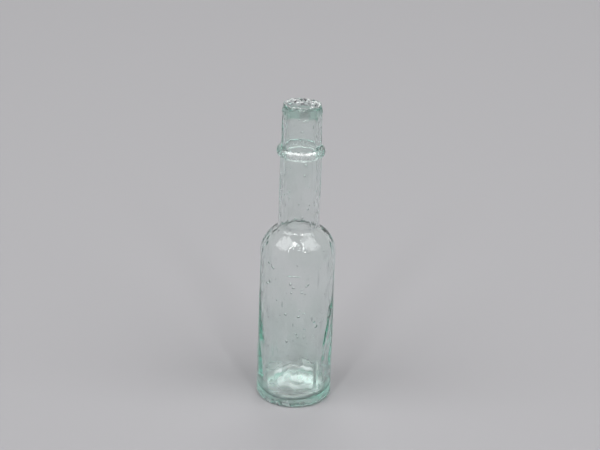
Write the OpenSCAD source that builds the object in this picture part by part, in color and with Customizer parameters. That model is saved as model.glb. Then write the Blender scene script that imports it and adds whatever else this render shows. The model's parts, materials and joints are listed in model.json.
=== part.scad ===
// Hand-finished glass bottle: a tall cylindrical body on a pushed-up base,
// a rounded shoulder, a straight neck, and a thicker wound-on finish
// made of a neck ring, a sleeve and a lip. The mouth is an open cork bore.
// All sizes are in millimetres. The bottle stands on z = 0, on the z axis.

/* [Bottle] */
// Overall height, from the resting face to the top of the lip
bottle_h = 180; // [160:1:210]
// Height at which the straight body ends and the shoulder starts
body_h = 91; // [60:1:105]
// Outside radius of the body at the base
body_r = 22; // [19:0.5:25]
// How much smaller the body radius is at the shoulder than at the base
body_taper = 0.5; // [0:0.1:1.5]
// Thickness of the shoulder wall and of the upper body wall
wall_t = 2; // [1.2:0.1:3]
// Thickness of the body wall just above the base
low_wall_t = 4.4; // [2.4:0.1:5]
// Height up to which the body wall is thicker than higher up
thick_h = 62; // [35:1:80]

/* [Base] */
// Height of the thick cup at the bottom, up to where the body wall starts
base_h = 11; // [9:0.5:16]
// Thickness of the glass under the edge of the inside floor
foot_t = 4; // [3:0.5:6]
// Radius of the rounded heel
heel_r = 2.5; // [1:0.25:3.5]
// Radius of the push-up where it leaves the resting face
kick_r = 14; // [8:0.5:14.5]
// Height of the push-up in the middle
kick_h = 3.5; // [1:0.5:5]
// How much the inside floor rises towards the middle
floor_rise = 2; // [0.5:0.5:3]
// Radius of the inside corner between floor and wall
corner_r = 4; // [2:0.25:5]

/* [Shoulder] */
// Radius of the rounded shoulder
shoulder_r = 17; // [13:0.5:20]
// Radius of the hollow where shoulder and neck meet
throat_r = 3; // [2:0.25:5]

/* [Neck] */
// Outside radius of the neck
neck_r = 11.7; // [10.5:0.1:13.5]
// Thickness of the wall at the foot of the neck
neck_t = 1.5; // [1:0.1:2]

/* [Finish] */
// Height of the wound-on finish, from under the neck ring to the top of the lip
finish_h = 30.4; // [26:0.2:36]
// Radius of the cork bore
bore_r = 8.8; // [7.5:0.1:8.9]
// Height of the neck ring
ring_h = 5.6; // [4:0.2:8]
// How far the neck ring stands out from the neck
ring_out = 2; // [1:0.1:3]
// Outside radius of the sleeve just above the neck ring
sleeve_r = 11.5; // [11.2:0.1:12.8]
// Outside radius of the sleeve just under the lip
sleeve_top_r = 11.1; // [10.6:0.1:11.9]
// Height of the lip band
lip_h = 6; // [4:0.5:8]
// Outside radius of the lip
lip_r = 11.4; // [10.9:0.1:12]
// Height over which the glass flares out from the sleeve to the lip
lip_flare_h = 1.5; // [0.5:0.5:2.5]
// Radius of the rounded outer edge of the lip
lip_edge_r = 1.3; // [0.5:0.1:1.3]
// Radius of the small round at the top of the cork bore
bore_edge_r = 0.6; // [0.2:0.1:0.6]

/* [Hidden] */
$fn = 96;
arc_steps = 16;
thin_glass = [0.72, 0.84, 0.8, 0.5];
thick_glass = [0.5, 0.74, 0.66, 0.65];

body_top_r = body_r - body_taper;
body_bore_r = body_top_r - wall_t;
neck_bore_r = neck_r - neck_t;

// Outside of the shoulder: the convex arc and the hollow throat arc share a
// tangent, so both turn through the same angle.
shoulder_turn = turn(body_top_r - neck_r, shoulder_r + throat_r);
shoulder_h = (shoulder_r + throat_r) * sin(shoulder_turn);

// Inside of the shoulder: the same two arcs over the same height, from the
// bore of the body in to the bore of the neck.
inner_drop = body_bore_r - neck_bore_r;
inner_arcs = (pow(inner_drop, 2) + pow(shoulder_h, 2)) / (2 * inner_drop);
inner_turn = turn(inner_drop, inner_arcs);
inner_throat_r = throat_r + neck_t;
inner_shoulder_r = inner_arcs - inner_throat_r;

neck_z = body_h + shoulder_h;
ring_z = bottle_h - finish_h;
sleeve_z = ring_z + ring_h;
lip_z = bottle_h - lip_h;

// Angle that two tangent arcs of this summed radius turn through for a drop
function turn(drop, radii) = acos(1 - drop / radii);

// Outside radius of the body wall at height z
function wall_r(z) = body_r - body_taper * z / body_h;

// Points along an arc about [cx, cz], from angle a0 to angle a1
function arc(cx, cz, r, a0, a1) = [
    for (i = [0 : arc_steps])
        let (a = a0 + (a1 - a0) * i / arc_steps)
        [cx + r * cos(a), cz + r * sin(a)]
];

// Radius of the ball whose cap rises h over a circle of radius r
function cap_ball(r, h) = (r * r + h * h) / (2 * h);

// Outline of a cap from its middle out to its edge, the edge at height z
function cap(r, h, z) =
    let (ball = cap_ball(r, h))
    arc(0, z + h - ball, ball, 90, acos(r / ball));

// The same points in the opposite order
function backwards(points) = [for (i = [len(points) - 1 : -1 : 0]) points[i]];

// Half-round bead outline of height h between two radii, standing out by out
function bead(low_r, high_r, out, h) = [
    for (i = [0 : arc_steps])
        let (a = -90 + 180 * i / arc_steps, share = (1 + sin(a)) / 2)
        [low_r + (high_r - low_r) * share + out * cos(a), h * share]
];

// Tube between two coaxial cones
module tube(low_r, high_r, low_bore, high_bore, h) {
    rotate_extrude()
        polygon([[low_bore, 0], [low_r, 0], [high_r, h], [high_bore, h]]);
}

// Thick cup at the bottom: push-up beneath, flat resting ring, rounded heel,
// and a floor that curves up into the wall
module base() {
    rim_r = wall_r(base_h);
    cup_r = rim_r - low_wall_t;
    underside = cap(kick_r, kick_h, 0);
    heel = arc(body_r - heel_r, heel_r, heel_r, -90, 0);
    corner = arc(cup_r - corner_r, foot_t + corner_r, corner_r, 0, -90);
    floor_top = backwards(cap(cup_r - corner_r, floor_rise, foot_t));
    color(thick_glass)
        rotate_extrude()
            polygon(concat(underside, heel, [[rim_r, base_h], [cup_r, base_h]], corner, floor_top));
}

// Body wall, a little narrower towards the shoulder and thicker towards the base
module body() {
    low_r = wall_r(base_h);
    color(thin_glass)
        rotate_extrude()
            polygon([
                [low_r - low_wall_t, base_h],
                [low_r, base_h],
                [body_top_r, body_h],
                [body_bore_r, body_h],
                [wall_r(thick_h) - wall_t, thick_h]]);
}

// Rounded shoulder, from the body wall in to the neck
module shoulder() {
    outside = concat(
        arc(body_top_r - shoulder_r, 0, shoulder_r, 0, shoulder_turn),
        arc(neck_r + throat_r, shoulder_h, throat_r, 180 + shoulder_turn, 180));
    inside = concat(
        arc(body_bore_r - inner_shoulder_r, 0, inner_shoulder_r, 0, inner_turn),
        arc(neck_r + throat_r, shoulder_h, inner_throat_r, 180 + inner_turn, 180));
    color(thin_glass)
        translate([0, 0, body_h])
            rotate_extrude()
                polygon(concat(outside, backwards(inside)));
}

// Neck tube, straight outside, whose inside closes in to the cork bore
module neck() {
    color(thin_glass)
        translate([0, 0, neck_z])
            tube(neck_r, neck_r, neck_bore_r, bore_r, ring_z - neck_z);
}

// Rounded bead around the neck, at the lower end of the cork bore
module neck_ring() {
    color(thick_glass)
        translate([0, 0, ring_z])
            rotate_extrude()
                polygon(concat(
                    [[bore_r, 0]],
                    bead(neck_r, sleeve_r, ring_out, ring_h),
                    [[bore_r, ring_h]]));
}

// Thick upper neck between ring and lip, with the cork bore through it
module sleeve() {
    color(thin_glass)
        translate([0, 0, sleeve_z])
            tube(sleeve_r, sleeve_top_r, bore_r, bore_r, lip_z - sleeve_z);
}

// Lip band: flared out from the sleeve, rounded outer edge, narrow top,
// softened edge into the bore
module lip() {
    outer_edge = arc(lip_r - lip_edge_r, lip_h - lip_edge_r, lip_edge_r, 0, 90);
    bore_edge = arc(bore_r + bore_edge_r, lip_h - bore_edge_r, bore_edge_r, 90, 180);
    color(thick_glass)
        translate([0, 0, lip_z])
            rotate_extrude()
                polygon(concat(
                    [[bore_r, 0], [sleeve_top_r, 0], [lip_r, lip_flare_h]],
                    outer_edge,
                    bore_edge));
}

base();
body();
shoulder();
neck();
neck_ring();
sleeve();
lip();
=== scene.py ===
import json
import math
import random

import bmesh
import bpy
from mathutils import Matrix, Vector


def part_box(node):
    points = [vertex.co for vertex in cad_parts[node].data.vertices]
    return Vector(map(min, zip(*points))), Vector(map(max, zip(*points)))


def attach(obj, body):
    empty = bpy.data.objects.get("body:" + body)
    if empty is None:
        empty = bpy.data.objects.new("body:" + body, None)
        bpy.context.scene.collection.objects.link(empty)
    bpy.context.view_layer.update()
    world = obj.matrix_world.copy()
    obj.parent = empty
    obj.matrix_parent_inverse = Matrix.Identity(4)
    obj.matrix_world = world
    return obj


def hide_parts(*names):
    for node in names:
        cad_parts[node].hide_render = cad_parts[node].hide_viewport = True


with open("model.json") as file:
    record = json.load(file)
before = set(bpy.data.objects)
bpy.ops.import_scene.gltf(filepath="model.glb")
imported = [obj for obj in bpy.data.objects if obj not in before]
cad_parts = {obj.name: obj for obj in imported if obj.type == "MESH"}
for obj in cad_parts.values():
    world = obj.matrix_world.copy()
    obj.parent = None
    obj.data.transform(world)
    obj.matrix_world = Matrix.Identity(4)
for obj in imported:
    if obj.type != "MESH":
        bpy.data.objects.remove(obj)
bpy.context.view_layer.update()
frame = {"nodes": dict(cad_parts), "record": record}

mm = 0.001
nodeBox = {name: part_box(name) for name in frame["nodes"]}
print("frame loaded:", ", ".join(sorted(nodeBox)))


# sizes that the glass shares with the solids
bodyRadius = nodeBox["base"][1][0]
baseTop = nodeBox["base"][1][2]
bodyTop = nodeBox["body"][1][2]
neckRadius = nodeBox["neck"][1][0]
neckLow = nodeBox["neck"][0][2]
neckTop = nodeBox["neck"][1][2]
ringLow = nodeBox["neck_ring"][0][2]
ringTop = nodeBox["neck_ring"][1][2]
lipLow = nodeBox["lip"][0][2]
lipTop = nodeBox["lip"][1][2]
boreRadius = frame["record"]["mounts"][0]["dims"]["r_mm"] * mm


# the glass skin: one closed surface, an outline spun round the bottle's axis
bottle = {
    "columns": 192,              # round the axis
    "wall": 2.0 * mm,            # body and shoulder
    "lowWall": 4.4 * mm,         # just above the base
    "thickTop": 62 * mm,         # from here down the wall grows thicker
    "neckWall": 1.5 * mm,        # at the foot of the neck
    "footThickness": 4.0 * mm,   # glass under the edge of the inside floor
    "floorRise": 2.0 * mm,       # the inside floor is higher in the middle
    "cornerRadius": 4.0 * mm,    # where the floor turns up into the wall
    "heelRadius": 2.5 * mm,
    "kickRadius": 14.0 * mm,     # push-up under the base
    "kickHeight": 3.5 * mm,
    "shoulderRadius": 17.0 * mm,
    "throatRadius": 3.0 * mm,
    "bodyTaper": 0.5 * mm,
    "ringOut": 2.0 * mm,
    "sleeveRadius": 11.5 * mm,   # just above the ring
    "sleeveTopRadius": 11.1 * mm,
    "lipRadius": 11.4 * mm,
    "lipFlare": 1.5 * mm,        # height over which the sleeve flares out to the lip
    "lipEdge": 0.5 * mm,         # rounding of the outer edge on top
    "boreEdge": 0.6 * mm,        # and of the edge of the bore
    "tornDepth": 1.5 * mm,       # how far the tear reaches down the bore all round
    "wallStep": 2.0 * mm,        # height of a row of faces on the plain walls
    "flareStep": 0.5 * mm,       # under the lip
    "lipStep": 0.6 * mm,         # on the sides of the lip
    "tornStep": 0.3 * mm,        # and on its torn top
    "mergeDistance": 0.01 * mm,
    "smoothAngle": 40,           # degrees; edges sharper than this stay sharp
}

# rows of faces along each arc of the outline
arcRows = {"kick": 12, "heel": 8, "shoulder": 16, "throat": 6, "ring": 16, "lipEdge": 6, "boreEdge": 4,
           "corner": 8, "floor": 14}

# share of the unevenness of its skin that a calmer place takes
calm = {"heel": 0.4, "throat": 0.8, "neck": 0.6, "tornBore": 0.5, "sleeveBore": 0.6, "neckBore": 0.8,
        "corner": 0.6}


def arcPoints(centreR, centreZ, radius, startAngle, endAngle, steps):
    # points on an arc in the r-z plane, angles in degrees from the r axis, first point left out
    points = []
    for i in range(1, steps + 1):
        a = math.radians(startAngle + (endAngle - startAngle) * i / steps)
        points.append((centreR + radius * math.cos(a), centreZ + radius * math.sin(a)))
    return points


def linePoints(start, end, step):
    # points on a straight line, the first one left out
    steps = max(1, round(math.dist(start, end) / step))
    return [(start[0] + (end[0] - start[0]) * i / steps, start[1] + (end[1] - start[1]) * i / steps)
            for i in range(1, steps + 1)]


def capPoints(radius, height, baseZ, steps):
    # a shallow dome's outline, from one step off the middle out to its edge
    ball = (radius ** 2 + height ** 2) / (2 * height)
    edge = math.degrees(math.acos(radius / ball))
    return arcPoints(0, baseZ + height - ball, ball, 90, edge, steps)


def taperedRadius(height):
    # outside of the body, a little narrower higher up
    return bodyRadius - bottle["bodyTaper"] * height / bodyTop


# each run is a list of (radius, height) points, the skin that they belong to and their weight in it
def underRuns():
    # from the middle of the push-up outwards and round the heel
    b = bottle
    heelIn = bodyRadius - b["heelRadius"]
    heel = arcPoints(heelIn, b["heelRadius"], b["heelRadius"], -90, 0, arcRows["heel"])
    runs = [([(0, b["kickHeight"])], "under", 1),
            (capPoints(b["kickRadius"], b["kickHeight"], 0, arcRows["kick"]), "under", 1),
            (linePoints((b["kickRadius"], 0), (heelIn, 0), b["wallStep"]), "rest", 0)]
    for i, point in enumerate(heel):     # still where it stands, and livelier further up
        runs.append(([point], "outside", calm["heel"] * i / len(heel)))
    return runs


def ringPoints():
    # half-round bead between the neck and the sleeve
    points = []
    for i in range(1, arcRows["ring"] + 1):
        a = math.radians(-90 + 180 * i / arcRows["ring"])
        share = (1 + math.sin(a)) / 2
        r = neckRadius + (bottle["sleeveRadius"] - neckRadius) * share + bottle["ringOut"] * math.cos(a)
        points.append((r, ringLow + (ringTop - ringLow) * share))
    return points


def outsideRuns():
    # up the body, the shoulder and the neck, over the ring and up the sleeve
    b = bottle
    bodyTopRadius = taperedRadius(bodyTop)
    arcs = b["shoulderRadius"] + b["throatRadius"]
    turn = math.degrees(math.acos(1 - (bodyTopRadius - neckRadius) / arcs))
    shoulderIn = bodyTopRadius - b["shoulderRadius"]
    throatOut = neckRadius + b["throatRadius"]
    return [
        (linePoints((bodyRadius, b["heelRadius"]), (bodyTopRadius, bodyTop), b["wallStep"]), "outside", 1),
        (arcPoints(shoulderIn, bodyTop, b["shoulderRadius"], 0, turn, arcRows["shoulder"]), "outside", 1),
        (arcPoints(throatOut, neckLow, b["throatRadius"], 180 + turn, 180, arcRows["throat"]),
         "outside", calm["throat"]),
        (linePoints((neckRadius, neckLow), (neckRadius, ringLow), b["wallStep"]), "outside", calm["neck"]),
        (ringPoints(), "bead", 1),
        (linePoints((b["sleeveRadius"], ringTop), (b["sleeveTopRadius"], lipLow), b["wallStep"]),
         "outside", 1),
    ]


def lipRuns():
    # up the lip, over its top and down the bore to where the sleeve starts
    b = bottle
    flareTop = lipLow + b["lipFlare"]
    edgeLow = lipTop - b["lipEdge"]
    edgeIn = b["lipRadius"] - b["lipEdge"]
    boreEdgeOut = boreRadius + b["boreEdge"]
    boreEdgeLow = lipTop - b["boreEdge"]
    tornLow = boreEdgeLow - b["tornDepth"]
    edge = arcPoints(edgeIn, edgeLow, b["lipEdge"], 0, 90, arcRows["lipEdge"])
    runs = [(linePoints((b["sleeveTopRadius"], lipLow), (b["lipRadius"], flareTop), b["flareStep"]),
             "outside", 1),
            (linePoints((b["lipRadius"], flareTop), (b["lipRadius"], edgeLow), b["lipStep"]), "outside", 1)]
    for i, point in enumerate(edge):
        runs.append(([point], "edge", (i + 1) / len(edge)))
    return runs + [
        (linePoints((edgeIn, lipTop), (boreEdgeOut, lipTop), b["tornStep"]), "rim", 1),
        (arcPoints(boreEdgeOut, boreEdgeLow, b["boreEdge"], 90, 180, arcRows["boreEdge"]), "rim", 1),
        (linePoints((boreRadius, boreEdgeLow), (boreRadius, tornLow), b["tornStep"]),
         "rim", calm["tornBore"]),
        (linePoints((boreRadius, tornLow), (boreRadius, lipLow), b["lipStep"]), "bore", 1),
    ]


def insideRuns():
    # down the rest of the bore and the inside wall, and in over the floor
    b = bottle
    bodyBore = taperedRadius(bodyTop) - b["wall"]
    neckBore = neckRadius - b["neckWall"]
    drop = bodyBore - neckBore
    arcs = (drop ** 2 + (neckLow - bodyTop) ** 2) / (2 * drop)    # radius of shoulder and throat together
    turn = math.degrees(math.acos(1 - drop / arcs))
    throat = b["throatRadius"] + b["neckWall"]
    throatOut = neckRadius + b["throatRadius"]
    thickBore = taperedRadius(b["thickTop"]) - b["wall"]
    cupRadius = taperedRadius(baseTop) - b["lowWall"]
    cornerIn = cupRadius - b["cornerRadius"]
    cornerTop = b["footThickness"] + b["cornerRadius"]
    dome = capPoints(cornerIn, b["floorRise"], b["footThickness"], arcRows["floor"])
    return [
        (linePoints((boreRadius, lipLow), (boreRadius, ringLow), b["wallStep"]), "bore", calm["sleeveBore"]),
        (linePoints((boreRadius, ringLow), (neckBore, neckLow), b["wallStep"]), "bore", calm["neckBore"]),
        (arcPoints(throatOut, neckLow, throat, 180, 180 + turn, arcRows["throat"]), "inside", 1),
        (arcPoints(bodyBore - arcs + throat, bodyTop, arcs - throat, turn, 0, arcRows["shoulder"]),
         "inside", 1),
        (linePoints((bodyBore, bodyTop), (thickBore, b["thickTop"]), b["wallStep"]), "inside", 1),
        (linePoints((thickBore, b["thickTop"]), (cupRadius, baseTop), b["wallStep"]), "inside", 1),
        (linePoints((cupRadius, baseTop), (cupRadius, cornerTop), b["wallStep"]), "inside", 1),
        (arcPoints(cornerIn, cornerTop, b["cornerRadius"], 0, -90, arcRows["corner"]),
         "floor", calm["corner"]),
        (dome[-2::-1], "floor", 1),
        ([(0, b["footThickness"] + b["floorRise"])], "floor", 1),
    ]


def bottleOutline():
    # every point as (radius, height, skin, weight), from under the base round to the inside floor
    outline = []
    for points, skin, weight in underRuns() + outsideRuns() + lipRuns() + insideRuns():
        outline.extend((r, z, skin, weight) for r, z in points)
    return outline


def markPoint(obj, skin, weight):
    # the selected vert belongs to its own skin only
    bpy.ops.object.vertex_group_remove_from(use_all_groups=True)
    obj.vertex_groups.active_index = obj.vertex_groups[skin].index
    bpy.context.scene.tool_settings.vertex_group_weight = weight
    bpy.ops.object.vertex_group_assign()


def makeSkin():
    # the outline is extruded point by point and then spun round the axis
    outline = bottleOutline()
    bpy.ops.object.select_all(action="DESELECT")
    bpy.ops.mesh.primitive_plane_add(size=1 * mm, location=(0, 0, outline[0][1]))
    obj = bpy.context.object
    obj.name = "glassBottle"
    bpy.ops.object.transform_apply(location=True, rotation=True, scale=True)
    for skin in ("under", "rest", "outside", "bead", "edge", "rim", "bore", "inside", "floor"):
        obj.vertex_groups.new(name=skin)
    bpy.ops.object.mode_set(mode="EDIT")
    bpy.ops.mesh.select_mode(type="VERT")
    bpy.ops.mesh.select_all(action="SELECT")
    bpy.ops.mesh.merge(type="CENTER")    # one vert, under the push-up's middle
    markPoint(obj, *outline[0][2:])
    for here, there in zip(outline, outline[1:]):
        step = (there[0] - here[0], 0, there[1] - here[1])
        bpy.ops.mesh.extrude_vertices_move(TRANSFORM_OT_translate={"value": step})
        markPoint(obj, *there[2:])
    bpy.ops.mesh.select_all(action="SELECT")
    bpy.ops.mesh.spin(steps=bottle["columns"], angle=2 * math.pi, center=(0, 0, 0), axis=(0, 0, 1))
    bpy.ops.mesh.select_all(action="SELECT")
    bpy.ops.mesh.remove_doubles(threshold=bottle["mergeDistance"])
    bpy.ops.mesh.normals_make_consistent(inside=False)
    bpy.ops.object.mode_set(mode="OBJECT")
    print("skin:", len(outline), "rings,", len(obj.data.vertices), "verts")
    return obj


glass = makeSkin()


# mould seams: two ridges up the body, broad near the base and fine above
seams = {
    "angles": (35.6, 215.6),     # degrees round from the front, towards +X
    "low": 4 * mm,
    "broadTop": 28 * mm,
    "broadWidth": 2.4 * mm,
    "broadHeight": 0.32 * mm,
    "fineWidth": 0.9 * mm,
    "fineHeight": 0.22 * mm,
}


def raiseSeam(obj, angle, low, top, width, height):
    outside = obj.vertex_groups["outside"].index
    mesh = bmesh.from_edit_mesh(obj.data)
    weights = mesh.verts.layers.deform.active
    bpy.ops.mesh.select_all(action="DESELECT")
    for vert in mesh.verts:
        around = math.atan2(vert.co.x, -vert.co.y) - math.radians(angle)
        off = abs((around + math.pi) % (2 * math.pi) - math.pi) * math.hypot(vert.co.x, vert.co.y)
        if off < width / 2 and low < vert.co.z < top and outside in vert[weights]:
            vert.select = True
    mesh.select_flush_mode()
    bmesh.update_edit_mesh(obj.data)
    bpy.ops.transform.shrink_fatten(value=height)


def raiseSeams(obj):
    bpy.ops.object.mode_set(mode="EDIT")
    for angle in seams["angles"]:
        raiseSeam(obj, angle, seams["low"], seams["broadTop"], seams["broadWidth"], seams["broadHeight"])
        raiseSeam(obj, angle, seams["broadTop"], neckTop, seams["fineWidth"], seams["fineHeight"])
    bpy.ops.object.mode_set(mode="OBJECT")
    print("seams raised")


raiseSeams(glass)


# hand-blown unevenness, and a lip that was sheared off and left rough
waves = [
    # skin, texture, size of a wave, stretch upwards, depth, direction, share that goes inwards
    ("outside", "CLOUDS", 18 * mm, 1.6, 0.50 * mm, "NORMAL", 0.5),
    ("outside", "CLOUDS", 5 * mm, 1.6, 0.15 * mm, "NORMAL", 0.5),
    ("shoulder", "CLOUDS", 6 * mm, 1.0, 0.60 * mm, "NORMAL", 0.5),
    ("shoulder", "CLOUDS", 2.5 * mm, 1.0, 0.16 * mm, "NORMAL", 0.5),
    ("bead", "CLOUDS", 6 * mm, 1.0, 0.45 * mm, "NORMAL", 0.5),
    ("bead", "CLOUDS", 2.2 * mm, 1.0, 0.28 * mm, "NORMAL", 0.5),
    ("inside", "CLOUDS", 12 * mm, 2.5, 0.90 * mm, "NORMAL", 0.5),
    ("inside", "CLOUDS", 4 * mm, 2.0, 0.18 * mm, "NORMAL", 0.5),
    ("bore", "CLOUDS", 7 * mm, 2.0, 1.00 * mm, "NORMAL", 0.5),
    ("bore", "CLOUDS", 3 * mm, 1.5, 0.45 * mm, "NORMAL", 0.5),
    ("floor", "CLOUDS", 8 * mm, 1.0, 1.80 * mm, "Z", 0.5),
    ("under", "CLOUDS", 9 * mm, 1.0, 0.80 * mm, "Z", 0.5),
    ("edge", "CLOUDS", 5 * mm, 1.0, 2.10 * mm, "Z", 0.6),
    ("edge", "VORONOI", 1.9 * mm, 1.0, 0.70 * mm, "NORMAL", 0.8),
    ("rim", "CLOUDS", 5 * mm, 1.0, 2.10 * mm, "Z", 0.6),
    ("rim", "VORONOI", 1.9 * mm, 1.0, 1.30 * mm, "NORMAL", 0.75),
    ("rim", "VORONOI", 0.8 * mm, 1.0, 0.75 * mm, "NORMAL", 0.6),
    ("rim", "CLOUDS", 0.3 * mm, 1.0, 0.22 * mm, "NORMAL", 0.5),
]


floorLean = {
    "towards": 150,              # degrees round from the front; the floor is higher on that side
    "rise": 1.9 * mm,            # above the middle, at the edge of the floor
    "reach": 17 * mm,            # from the middle to that edge
}

lipSet = {
    "low": 175.5 * mm,           # from here up the lip draws in
    "drawnIn": 1.1 * mm,         # by this much at the top of its outside
    "still": 9 * mm,             # inside this radius the bore stays as it is
    "lean": 0.8 * mm,            # the front of the torn rim is this much higher than the back
    "sink": 0.15,                # share of the lean by which the whole rim sinks
}

shoulderReach = 3 * mm           # the wavy part of the skin starts this far under the shoulder


def leanFloor(obj):
    # the molten floor settled askew
    cornerTop = bottle["footThickness"] + bottle["cornerRadius"]
    a = math.radians(floorLean["towards"] - 90)
    lean = Vector((math.cos(a), math.sin(a), 0)) * floorLean["rise"] / floorLean["reach"]
    floor = obj.vertex_groups["floor"].index
    for vert in obj.data.vertices:
        if floor in [group.group for group in vert.groups]:
            low = min(1, max(0, (cornerTop - vert.co.z) / bottle["cornerRadius"]))
            vert.co.z += lean.dot(vert.co) * low
    print("floor leaned")


def settleLip(obj):
    # the hot lip was pushed in a little, and torn off on a slant
    for vert in obj.data.vertices:
        rise = (vert.co.z - lipSet["low"]) / (lipTop - lipSet["low"])
        reach = math.hypot(vert.co.x, vert.co.y)
        if rise > 0 and reach > lipSet["still"]:
            out = (reach - lipSet["still"]) / (bottle["lipRadius"] - lipSet["still"])
            drawn = 1 - lipSet["drawnIn"] * rise * out / reach
            vert.co.x *= drawn
            vert.co.y *= drawn
        if rise > 0:
            slant = -lipSet["sink"] - vert.co.y / (2 * bottle["lipRadius"])
            vert.co.z += lipSet["lean"] * rise * slant
    print("lip settled")


def markShoulder(obj):
    # the rounded shoulder is wavier than the rest
    low, high = nodeBox["shoulder"][0][2] - shoulderReach, nodeBox["shoulder"][1][2]
    middle, half = (low + high) / 2, (high - low) / 2
    outside = obj.vertex_groups["outside"].index
    group = obj.vertex_groups.new(name="shoulder")
    for vert in obj.data.vertices:
        if low < vert.co.z < high and outside in [member.group for member in vert.groups]:
            group.add([vert.index], 1 - ((vert.co.z - middle) / half) ** 2, "REPLACE")
    print("shoulder marked")


def fineRim(obj):
    # smaller faces on the lip, for its chips
    bpy.ops.object.mode_set(mode="EDIT")
    bpy.ops.mesh.select_all(action="DESELECT")
    obj.vertex_groups.active_index = obj.vertex_groups["rim"].index
    bpy.ops.object.vertex_group_select()
    bpy.ops.mesh.subdivide(number_cuts=1)
    bpy.ops.object.mode_set(mode="OBJECT")


def rippleSkin(obj):
    bpy.ops.object.empty_add(location=(0, 0, 0))
    guide = bpy.context.object
    bpy.ops.object.select_all(action="DESELECT")
    obj.select_set(True)
    bpy.context.view_layer.objects.active = obj
    for number, (skin, kind, size, stretch, depth, direction, inwards) in enumerate(waves):
        guide.scale = (1, 1, stretch)
        bpy.context.view_layer.update()
        texture = bpy.data.textures.new(skin + "Waves" + str(number), kind)
        texture.noise_scale = size
        ripple = obj.modifiers.new(skin + "Ripple", "DISPLACE")
        ripple.texture = texture
        ripple.texture_coords = "OBJECT"
        ripple.texture_coords_object = guide
        ripple.vertex_group = skin
        ripple.strength = depth
        ripple.mid_level = inwards
        ripple.direction = direction
        bpy.ops.object.modifier_apply(modifier=ripple.name)
    bpy.data.objects.remove(guide)
    print("skin rippled")


leanFloor(glass)
settleLip(glass)
markShoulder(glass)
fineRim(glass)
rippleSkin(glass)


# seeds: small bubbles caught in the wall
seeds = {
    "placed": [
        # degrees round from the front, height, then width, height and depth of the bubble in mm
        (-50, 89, 0.9, 0.9, 0.6), (-44, 88, 0.4, 1.6, 0.4), (-40, 87, 0.9, 1.1, 0.6),
        (-47, 78, 1.0, 1.3, 0.7), (-53, 76, 1.3, 0.6, 0.5), (-10, 79, 0.8, 1.1, 0.6),
        (-5, 77, 1.0, 0.8, 0.6), (15, 78, 0.9, 0.8, 0.6), (18, 79, 0.8, 0.9, 0.6),
        (8, 74, 1.1, 0.6, 0.5), (8, 76, 1.6, 0.3, 0.3), (-16, 60, 0.9, 0.8, 0.6),
        (4, 59, 1.1, 0.8, 0.6), (1, 48, 0.9, 0.8, 0.6), (4, 46, 0.7, 0.6, 0.5),
        (-13, 43, 0.8, 1.0, 0.6), (33, 52, 1.6, 1.4, 0.4), (62, 53, 0.9, 1.2, 0.6),
        (58, 50, 1.1, 0.8, 0.5), (-22, 66, 0.4, 2.4, 0.4), (-4, 54, 0.4, 1.6, 0.4),
        (12, 61, 1.8, 0.3, 0.3), (26, 57, 0.4, 1.8, 0.4), (30, 55, 0.9, 0.8, 0.5),
        (14, 46, 1.0, 1.0, 0.5), (9, 116, 0.9, 1.0, 0.5), (13, 141, 0.7, 0.8, 0.5),
        (25, 121, 0.7, 0.9, 0.5), (-30, 131, 0.5, 0.9, 0.4), (1, 166.5, 1.0, 0.5, 0.5),
        (4, 172.5, 0.6, 0.4, 0.4), (10, 173.1, 0.9, 0.5, 0.4), (15, 172.3, 0.6, 0.5, 0.4),
        (20, 173.3, 0.5, 0.4, 0.4), (48, 173, 1.0, 1.3, 0.5), (-8, 173.6, 0.9, 0.5, 0.4),
        (36, 169, 0.6, 1.6, 0.4), (-60, 172, 1.4, 0.7, 0.5),
    ],
    "crease": (-5, 84, 8.0, 0.5, 0.6),   # a drawn-out bubble across the front
    "swell": 1.6,                # the placed ones are this much larger, across and upwards
    "scattered": 160,
    "zones": ((14, 89), (14, 89), (112, 147)),   # heights of the scattered ones, more in the body
    "smallest": 0.18,
    "largest": 0.80,
    "longest": 1.8,              # height of a drawn-out one, as a multiple of its width
    "lipDepth": 1.1 * mm,        # how deep they lie in the sleeve and the lip
    "draw": 11,                  # start of the random draws
}


def wallMiddle(height):
    # radius at which a bubble lies in the wall
    if height < bodyTop:
        return taperedRadius(height) - bottle["wall"] / 2
    if height < ringTop:
        return neckRadius - bottle["neckWall"] / 2
    return bottle["lipRadius"] - seeds["lipDepth"]


def makeFirstBubble():
    bpy.ops.object.select_all(action="DESELECT")
    bpy.ops.mesh.primitive_ico_sphere_add(subdivisions=2, radius=mm / 2)    # 1 mm across
    bubble = bpy.context.object
    bpy.ops.object.mode_set(mode="EDIT")
    bpy.ops.mesh.select_all(action="SELECT")
    bpy.ops.mesh.flip_normals()      # the glass is outside the bubble
    bpy.ops.object.mode_set(mode="OBJECT")
    return bubble


def copyBubble(first, angle, height, width, tall, deep):
    r = wallMiddle(height * mm)
    bubble = first.copy()
    bubble.data = first.data.copy()
    bpy.context.collection.objects.link(bubble)
    turned = Matrix.Rotation(math.radians(angle), 4, "Z")
    moved = Matrix.Translation((0, -r, height * mm))
    bubble.data.transform(turned @ moved @ Matrix.Diagonal((width, deep, tall, 1)))
    return bubble


def makeSeeds():
    draw = random.Random(seeds["draw"])
    first = makeFirstBubble()
    bubbles = [copyBubble(first, angle, height, width * seeds["swell"], tall * seeds["swell"], deep)
               for angle, height, width, tall, deep in seeds["placed"]]
    for i in range(seeds["scattered"]):
        height = draw.choice([draw.uniform(low, high) for low, high in seeds["zones"]])
        size = draw.uniform(seeds["smallest"], seeds["largest"])
        stretch = draw.uniform(1, seeds["longest"])
        bubbles.append(copyBubble(first, draw.uniform(0, 360), height, size, size * stretch, size))
    bubbles.append(copyBubble(first, *seeds["crease"]))
    bpy.data.objects.remove(first)
    return bubbles


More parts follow.
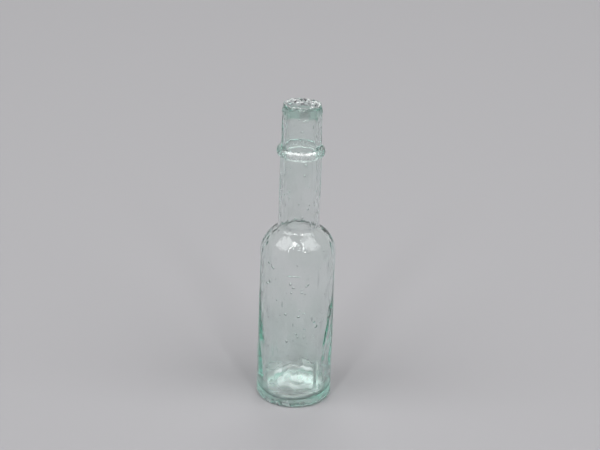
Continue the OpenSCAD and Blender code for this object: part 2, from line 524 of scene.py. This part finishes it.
def joinSeeds(obj, bubbles):
    bpy.ops.object.select_all(action="DESELECT")
    for bubble in bubbles:
        bubble.select_set(True)
    obj.select_set(True)
    bpy.context.view_layer.objects.active = obj
    bpy.ops.object.join()
    print("seeds:", len(bubbles))


def shadeGlass(obj):
    # smooth everywhere but on the torn lip
    bpy.ops.object.shade_smooth_by_angle(angle=math.radians(bottle["smoothAngle"]))
    bpy.ops.object.mode_set(mode="EDIT")
    bpy.ops.mesh.select_all(action="DESELECT")
    obj.vertex_groups.active_index = obj.vertex_groups["rim"].index
    bpy.ops.object.vertex_group_select()
    bpy.ops.mesh.faces_shade_flat()
    bpy.ops.object.mode_set(mode="OBJECT")


def markSkins(obj, skins):
    # a mask for the material from each named set of skins
    for name, members in skins.items():
        groups = {obj.vertex_groups[skin].index for skin in members}
        layer = obj.data.attributes.new(name, "FLOAT", "POINT")
        for vert, value in zip(obj.data.vertices, layer.data):
            value.value = float(any(group.group in groups for group in vert.groups))
    print("masks:", ", ".join(skins))


joinSeeds(glass, makeSeeds())
shadeGlass(glass)
markSkins(glass, {"tornSkin": ["rim"], "floorSkin": ["floor"], "underSkin": ["under"],
                  "boreSkin": ["bore"], "insideSkin": ["inside"], "outerSkin": ["outside"]})


# glass material: clear aqua glass all through, with the wear and stains of an old bottle on its skins, and
# painted shade round the heel
aqua = {
    "tint": (0.12, 0.74, 0.60, 1),          # colour that thick glass goes towards
    "density": 19,                          # per metre of glass
    "ior": 1.52,
    "clear": (1.0, 1.0, 1.0, 1),
    "stained": (0.935, 0.955, 0.945, 1),    # faint cloudy stain in patches
    "boreFrost": 0.32,                      # the stain is milky in the bore
    "haze": 0.035,                          # faint dulling of the old surface
    "frostIor": 7.0,                        # white, ground-looking places have a coat that catches light
    "frostRoughness": 0.35,
    "wander": 7 * mm,                       # height over which the edge of a band may wander
    "wanderSize": 6 * mm,
    "ripple": 0.22 * mm,                    # height of the fine ripple in the bump
    "rippleSize": 5 * mm,
    "rippleStretch": (1, 1, 0.4),           # scale of the pattern along x, y and z
}

# low and high are the heights of a band's edges, and a fade is the height over which an edge blurs
tornLip = {
    "green": (0.64, 0.80, 0.74, 1),         # the lip is a deeper green than the rest
    "greenLow": 172.8 * mm,
    "greenHigh": 180.5 * mm,
    "greenFade": 1.4 * mm,
    "tornColour": (0.99, 0.92, 0.97, 1),
    "tornRoughness": 0.30,
    "tornFrost": 1.0,
    "tearLow": 176.6 * mm,                  # in the bore the tear reaches down to about here
    "tearFade": 1.2 * mm,
    "tearLean": 0.22,                       # deeper at the back than at the front
    "topLow": 178.0 * mm,                   # the top is torn from here up
    "topRadius": 9.9 * mm,                  # and out to here
    "topFade": 0.5 * mm,
    "chipDepth": 0.25 * mm,
    "darkFleck": (0.08, 0.05, 0.07, 1),          # dark flecks in the tear
    "darkFleckFront": -6 * mm,                   # none further forwards than this
    "darkFleckFade": 2 * mm,
    "smear": (0.57, 0.62, 0.60, 1),         # dull smear on the front of the lip
    "smearPlace": (1.5 * mm, -11 * mm, 176.0 * mm),
    "smearReach": 4.5 * mm,
}

wornRing = {
    "frost": 0.52,                          # scuffed top of the neck ring
    "blur": 0.55,                           # share of the scuffing that also blurs what is behind
    "low": 150.2 * mm,
    "lowFade": 1.0 * mm,
    "high": 155.4 * mm,
    "highFade": 0.3 * mm,
    "radius": 11.9 * mm,                    # from here outwards
    "radiusFade": 0.4 * mm,
}

wornBase = {
    "underRoughness": 0.45,
    "underFrost": 0.70,
    "floorRoughness": 0.36,
    "floorFrost": 0.85,                     # milky film on the inside floor
    "filmLow": 9 * mm,                      # it thins out up the wall from here
    "filmFade": 6 * mm,
    "standLow": 0.2 * mm,                   # wear from standing
    "standFade": 1.0 * mm,
    "standRoughness": 0.30,
    "heelShadeAndScuff": (0.90, 0.84, 0.86, 1),         # painted shade round the heel: a darker pinkish tint, darkest at the bottom
    "heelLow": 1.2 * mm,
    "heelFade": 4.8 * mm,
    "heelFrost": 0.95,                      # white scuffs round the heel
    "streakDepth": 0.6 * mm,                # drawn lines round the heel
    "streakSize": 5 * mm,
    "streakStretch": (0.5, 0.5, 4.0),
    "swirlSize": 7 * mm,                    # between the rings of a swirl
    "swirlShift": (-4 * mm, -5 * mm, 0),
    "swirlBend": 5,
    "swirlDetail": 1.2,
    "swirlValues": (0.25, 0.75, 0.55, 1),   # as in the patches below
}

scratches = {
    "size": 9 * mm,
    "stretch": (1.0, 0.8, 3.2),
    "width": (0.001, 0.004),                # how close to its middle value the pattern makes a line
    "roughness": 0.22,
}

patches = {
    # size, detail, scale along x, y and z, then the pattern's values between which a patch fades in
    # and the shares that it fades in from and to
    "stain": (15 * mm, 3, (1, 1, 0.5), (0.42, 0.66, 0, 1)),
    "haze": (14 * mm, 3, (1, 1, 1), (0.45, 0.70, 0, 1)),
    "grit": (0.8 * mm, 3, (1, 1, 1), (0.35, 0.55, 0.75, 1)),
    "fleck": (1.9 * mm, 2, (1, 1, 1), (0.52, 0.57, 0, 1)),
    "ringScuff": (2.4 * mm, 2, (1, 1, 1), (0.42, 0.60, 0.7, 1)),
    "scuff": (2.5 * mm, 4, (1, 1, 1), (0.42, 0.58, 0, 1)),
    # patches where the heel's painted shade and its white scuffs fall
    "heelShadeAndScuff": (4 * mm, 4, (1, 1, 1), (0.30, 0.54, 0, 1)),
    "dull": (3 * mm, 4, (1, 1, 1), (0.30, 0.60, 0.5, 1)),
    "scratched": (11 * mm, 2, (1, 1, 1), (0.54, 0.62, 0, 1)),
}


def node(tree, kind, **settings):
    made = tree.nodes.new(kind)
    for name, value in settings.items():
        setattr(made, name, value)
    return made


def calculate(tree, operation, a, b=None, clamp=True):
    made = node(tree, "ShaderNodeMath", operation=operation, use_clamp=clamp)
    for socket, value in zip(made.inputs, (a, b)):
        if value is None:
            continue
        if isinstance(value, (int, float)):
            socket.default_value = value
        else:
            tree.links.new(value, socket)
    return made.outputs["Value"]


def times(tree, first, *others):
    for other in others:
        first = calculate(tree, "MULTIPLY", first, other)
    return first


def strongest(tree, first, *others):
    for other in others:
        first = calculate(tree, "MAXIMUM", first, other)
    return first


def noise(tree, place, size, detail, stretch=(1, 1, 1)):
    mapping = node(tree, "ShaderNodeMapping")
    mapping.inputs["Scale"].default_value = stretch
    tree.links.new(place, mapping.inputs["Vector"])
    made = node(tree, "ShaderNodeTexNoise")
    made.inputs["Scale"].default_value = 1 / size
    made.inputs["Detail"].default_value = detail
    tree.links.new(mapping.outputs["Vector"], made.inputs["Vector"])
    return made.outputs["Fac"]


def ramp(tree, value, low, high, toLow=0.0, toHigh=1.0):
    made = node(tree, "ShaderNodeMapRange", interpolation_type="SMOOTHSTEP")
    made.inputs["From Min"].default_value = low
    made.inputs["From Max"].default_value = high
    made.inputs["To Min"].default_value = toLow
    made.inputs["To Max"].default_value = toHigh
    tree.links.new(value, made.inputs["Value"])
    return made.outputs["Result"]


def above(tree, value, edge, fade):
    return ramp(tree, value, edge, edge + fade)


def below(tree, value, edge, fade):
    return ramp(tree, value, edge, edge + fade, 1.0, 0.0)


def blend(tree, share, first, second):
    made = node(tree, "ShaderNodeMix", data_type="RGBA")
    tree.links.new(share, made.inputs["Factor"])
    for name, colour in (("A", first), ("B", second)):
        if isinstance(colour, tuple):
            made.inputs[name].default_value = colour
        else:
            tree.links.new(colour, made.inputs[name])
    return made.outputs["Result"]


def bump(tree, height, depth, before=None):
    made = node(tree, "ShaderNodeBump")
    made.inputs["Strength"].default_value = 1
    made.inputs["Distance"].default_value = depth
    tree.links.new(height, made.inputs["Height"])
    if before is not None:
        tree.links.new(before, made.inputs["Normal"])
    return made.outputs["Normal"]


def skinMask(tree, name):
    return node(tree, "ShaderNodeAttribute", attribute_name=name).outputs["Fac"]


def findPlaces(tree):
    # where a point of the glass is: height, distance behind the axis and from it, and height with
    # a wandering edge
    place = node(tree, "ShaderNodeTexCoord").outputs["Object"]
    split = node(tree, "ShaderNodeSeparateXYZ")
    tree.links.new(place, split.inputs["Vector"])
    height = split.outputs["Z"]
    flat = node(tree, "ShaderNodeVectorMath", operation="MULTIPLY")
    flat.inputs[1].default_value = (1, 1, 0)
    tree.links.new(place, flat.inputs[0])
    reach = node(tree, "ShaderNodeVectorMath", operation="LENGTH")
    tree.links.new(flat.outputs["Vector"], reach.inputs[0])
    wander = noise(tree, place, aqua["wanderSize"], detail=2)
    wander = calculate(tree, "SUBTRACT", wander, 0.5, clamp=False)
    wander = calculate(tree, "MULTIPLY", wander, aqua["wander"], clamp=False)
    return {"place": place, "height": height, "behind": split.outputs["Y"], "reach": reach.outputs["Value"],
            "loose": calculate(tree, "ADD", height, wander, clamp=False)}


def tearMask(tree, where):
    # the tear covers the rim, reaches over the top and runs a little way down the bore
    lean = calculate(tree, "MULTIPLY", where["behind"], tornLip["tearLean"], clamp=False)
    deep = calculate(tree, "ADD", where["loose"], lean, clamp=False)
    bore = times(tree, skinMask(tree, "boreSkin"),
                 above(tree, deep, tornLip["tearLow"], tornLip["tearFade"]))
    top = times(tree, above(tree, where["height"], tornLip["topLow"], tornLip["topFade"]),
                below(tree, where["reach"], tornLip["topRadius"], tornLip["topFade"]))
    return strongest(tree, bore, top, skinMask(tree, "tornSkin"))


def smearMask(tree, where):
    apart = node(tree, "ShaderNodeVectorMath", operation="DISTANCE")
    apart.inputs[1].default_value = tornLip["smearPlace"]
    tree.links.new(where["place"], apart.inputs[0])
    half = tornLip["smearReach"] / 2
    return below(tree, apart.outputs["Value"], half, half)


def swirlMask(tree, where):
    # swirls in the glass of the base
    mapping = node(tree, "ShaderNodeMapping")
    mapping.inputs["Location"].default_value = wornBase["swirlShift"]
    tree.links.new(where["place"], mapping.inputs["Vector"])
    made = node(tree, "ShaderNodeTexWave", wave_type="RINGS", rings_direction="Z")
    ringGap = 0.3                # about what lies between two rings at a scale of 1
    made.inputs["Scale"].default_value = ringGap / wornBase["swirlSize"]
    made.inputs["Distortion"].default_value = wornBase["swirlBend"]
    made.inputs["Detail Scale"].default_value = wornBase["swirlDetail"]
    tree.links.new(mapping.outputs["Vector"], made.inputs["Vector"])
    return ramp(tree, made.outputs["Fac"], *wornBase["swirlValues"])


def scratchMask(tree, where, patch):
    # short fine lines: thin contours of a stretched noise, kept in patches
    lines = noise(tree, where["place"], scratches["size"], detail=1, stretch=scratches["stretch"])
    off = calculate(tree, "ABSOLUTE", calculate(tree, "SUBTRACT", lines, 0.5, clamp=False))
    return times(tree, ramp(tree, off, *scratches["width"], 1.0, 0.0), patch["scratched"])


def findWear(tree, where, patch):
    # masks of what is green, torn, dark-flecked, scuffed or milky, and of where the heel has painted shade
    height, loose = where["height"], where["loose"]
    creep = times(tree, skinMask(tree, "insideSkin"),
                  below(tree, loose, wornBase["filmLow"], wornBase["filmFade"]))
    return {
        "lip": times(tree, above(tree, loose, tornLip["greenLow"], tornLip["greenFade"]),
                     below(tree, loose, tornLip["greenHigh"], tornLip["greenFade"])),
        "tear": tearMask(tree, where),
        "darkFleck": times(tree, patch["fleck"],
                      above(tree, where["behind"], tornLip["darkFleckFront"], tornLip["darkFleckFade"])),
        "ring": times(tree, above(tree, height, wornRing["low"], wornRing["lowFade"]),
                      below(tree, height, wornRing["high"], wornRing["highFade"]),
                      above(tree, where["reach"], wornRing["radius"], wornRing["radiusFade"]),
                      patch["grit"], wornRing["frost"], patch["ringScuff"]),
        "heel": times(tree, below(tree, height, wornBase["heelLow"], wornBase["heelFade"]), patch["heelShadeAndScuff"]),
        "stand": below(tree, height, wornBase["standLow"], wornBase["standFade"]),
        "under": skinMask(tree, "underSkin"),
        "floor": strongest(tree, skinMask(tree, "floorSkin"), creep),
        "swirl": swirlMask(tree, where),
    }


def glassColour(tree, where, patch, wear):
    colour = blend(tree, patch["stain"], aqua["clear"], aqua["stained"])
    smear = times(tree, wear["lip"], smearMask(tree, where))
    colour = blend(tree, wear["lip"], colour, blend(tree, smear, tornLip["green"], tornLip["smear"]))
    colour = blend(tree, wear["tear"], colour, tornLip["tornColour"])
    # dark flecks on the torn lip, none at its front
    colour = blend(tree, times(tree, wear["darkFleck"], wear["tear"]), colour, tornLip["darkFleck"])
    # painted shade round the heel, in patches, darker towards the bottom
    return blend(tree, wear["heel"], colour, wornBase["heelShadeAndScuff"])


def glassFrost(tree, patch, wear):
    # no frost where the torn lip has dark flecks
    unflecked = calculate(tree, "SUBTRACT", 1.0, wear["darkFleck"])
    return strongest(
        tree,
        times(tree, wear["tear"], patch["grit"], tornLip["tornFrost"], unflecked),
        times(tree, wear["under"], wear["swirl"], wornBase["underFrost"]),
        wear["ring"],
        times(tree, wear["floor"], wear["swirl"], wornBase["floorFrost"]),
        times(tree, skinMask(tree, "boreSkin"), patch["stain"], aqua["boreFrost"]),
        times(tree, wear["heel"], patch["scuff"], wornBase["heelFrost"], skinMask(tree, "outerSkin")))


def glassRoughness(tree, where, patch, wear, torn):
    return strongest(
        tree,
        torn,
        times(tree, wear["stand"], patch["scuff"], wornBase["standRoughness"]),
        times(tree, wear["under"], patch["dull"], wornBase["underRoughness"]),
        times(tree, wear["floor"], wear["swirl"], wornBase["floorRoughness"]),
        times(tree, scratchMask(tree, where, patch), scratches["roughness"]),
        times(tree, patch["haze"], aqua["haze"]),
        times(tree, wear["ring"], wornRing["blur"]))


def glassBump(tree, where, wear, torn):
    ripple = noise(tree, where["place"], aqua["rippleSize"], detail=1, stretch=aqua["rippleStretch"])
    drawn = noise(tree, where["place"], wornBase["streakSize"], detail=2, stretch=wornBase["streakStretch"])
    normal = bump(tree, ripple, aqua["ripple"])
    normal = bump(tree, torn, tornLip["chipDepth"], normal)
    return bump(tree, times(tree, drawn, wear["heel"]), wornBase["streakDepth"], normal)


def glassMaterial():
    material = bpy.data.materials.new("aquaGlass")
    material.use_nodes = True
    tree = material.node_tree
    shader = tree.nodes["Principled BSDF"]
    where = findPlaces(tree)
    patch = {name: ramp(tree, noise(tree, where["place"], size, detail, stretch), *values)
             for name, (size, detail, stretch, values) in patches.items()}
    wear = findWear(tree, where, patch)
    torn = times(tree, wear["tear"], patch["grit"], tornLip["tornRoughness"])
    shader.inputs["IOR"].default_value = aqua["ior"]
    shader.inputs["Transmission Weight"].default_value = 1
    shader.inputs["Coat IOR"].default_value = aqua["frostIor"]
    shader.inputs["Coat Roughness"].default_value = aqua["frostRoughness"]
    tree.links.new(glassColour(tree, where, patch, wear), shader.inputs["Base Color"])
    tree.links.new(glassFrost(tree, patch, wear), shader.inputs["Coat Weight"])
    tree.links.new(glassRoughness(tree, where, patch, wear, torn), shader.inputs["Roughness"])
    tree.links.new(glassBump(tree, where, wear, torn), shader.inputs["Normal"])
    volume = node(tree, "ShaderNodeVolumeAbsorption")
    volume.inputs["Color"].default_value = aqua["tint"]
    volume.inputs["Density"].default_value = aqua["density"]
    tree.links.new(volume.outputs["Volume"], tree.nodes["Material Output"].inputs["Volume"])
    return material


glass.data.materials.clear()
glass.data.materials.append(glassMaterial())
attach(glass, "root")
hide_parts("base", "body", "shoulder", "neck", "neck_ring", "sleeve", "lip")
print("glass finished")


# floor, lights and camera
studio = {
    "floorSize": 9,
    "floorDrop": 0.15 * mm,          # keeps the floor clear of the resting ring
    "floorColour": (0.43, 0.425, 0.44, 1),
    "floorRoughness": 0.6,
    "floorGloss": 0.2,
    "worldColour": (1.0, 1.0, 1.0, 1),
    "worldStrength": 0.09,           # light from all round
    "worldShown": 0.62,              # how bright the studio looks in the glass
    "glassBounces": 24,              # light runs a long way round inside the glass
    "allBounces": 36,
}

softboxes = [
    # name, place, width, height, brightness of its face
    ("leftStrip", (-1.00, -2.45, 3.1), 0.24, 3.2, 11.0),
    ("rightStrip", (1.00, -2.45, 3.1), 0.24, 3.2, 11.0),
    ("leftBroad", (-2.60, -1.40, 3.4), 3.4, 3.6, 2.7),
    ("rightBroad", (2.60, -1.40, 3.4), 3.4, 3.6, 2.7),
    ("rear", (0.15, 3.1, 2.2), 3.0, 1.4, 2.1),
]

camera = {
    "distance": 786.7 * mm,          # from the axis, along the floor
    "height": 439 * mm,
    "aim": (0.76 * mm, 0, 107 * mm),
    "lens": 90,
    "roll": 1.89,                    # degrees
}


def aimAt(obj, target):
    away = obj.location - Vector(target)
    obj.rotation_euler = away.to_track_quat("Z", "Y").to_euler()


def makeFloor():
    bpy.ops.mesh.primitive_plane_add(size=studio["floorSize"], location=(0, 0, -studio["floorDrop"]))
    floor = bpy.context.object
    floor.name = "studioFloor"
    material = bpy.data.materials.new("paleFloor")
    material.use_nodes = True
    shader = material.node_tree.nodes["Principled BSDF"]
    shader.inputs["Base Color"].default_value = studio["floorColour"]
    shader.inputs["Roughness"].default_value = studio["floorRoughness"]
    shader.inputs["Specular IOR Level"].default_value = studio["floorGloss"]
    floor.data.materials.append(material)


def makeLights():
    world = bpy.data.worlds.new("studioWorld")
    world.use_nodes = True
    background = world.node_tree.nodes["Background"]
    background.inputs["Color"].default_value = studio["worldColour"]
    # the glass shows a pale studio, which adds no light of its own
    path = node(world.node_tree, "ShaderNodeLightPath")
    seen = strongest(world.node_tree, path.outputs["Is Camera Ray"], path.outputs["Is Glossy Ray"],
                     path.outputs["Is Transmission Ray"])
    strength = ramp(world.node_tree, seen, 0, 1, studio["worldStrength"], studio["worldShown"])
    world.node_tree.links.new(strength, background.inputs["Strength"])
    bpy.context.scene.world = world
    middle = (0, 0, bodyTop)
    for name, place, width, height, brightness in softboxes:
        bpy.ops.object.light_add(type="AREA", location=place)
        lamp = bpy.context.object
        lamp.name = name + "Softbox"
        lamp.data.shape = "RECTANGLE"
        lamp.data.size = width
        lamp.data.size_y = height
        lamp.data.energy = brightness * math.pi * width * height
        aimAt(lamp, middle)


def makeCamera():
    bpy.ops.object.camera_add(location=(0, -camera["distance"], camera["height"]))
    eye = bpy.context.object
    eye.data.lens = camera["lens"]
    aimAt(eye, camera["aim"])
    eye.rotation_euler.rotate_axis("Z", math.radians(camera["roll"]))
    bpy.context.scene.camera = eye


makeFloor()
makeLights()
makeCamera()
scene = bpy.context.scene
scene.view_settings.view_transform = "Standard"
scene.cycles.glossy_bounces = studio["glassBounces"]
scene.cycles.transmission_bounces = studio["glassBounces"]
scene.cycles.max_bounces = studio["allBounces"]
print("studio set")
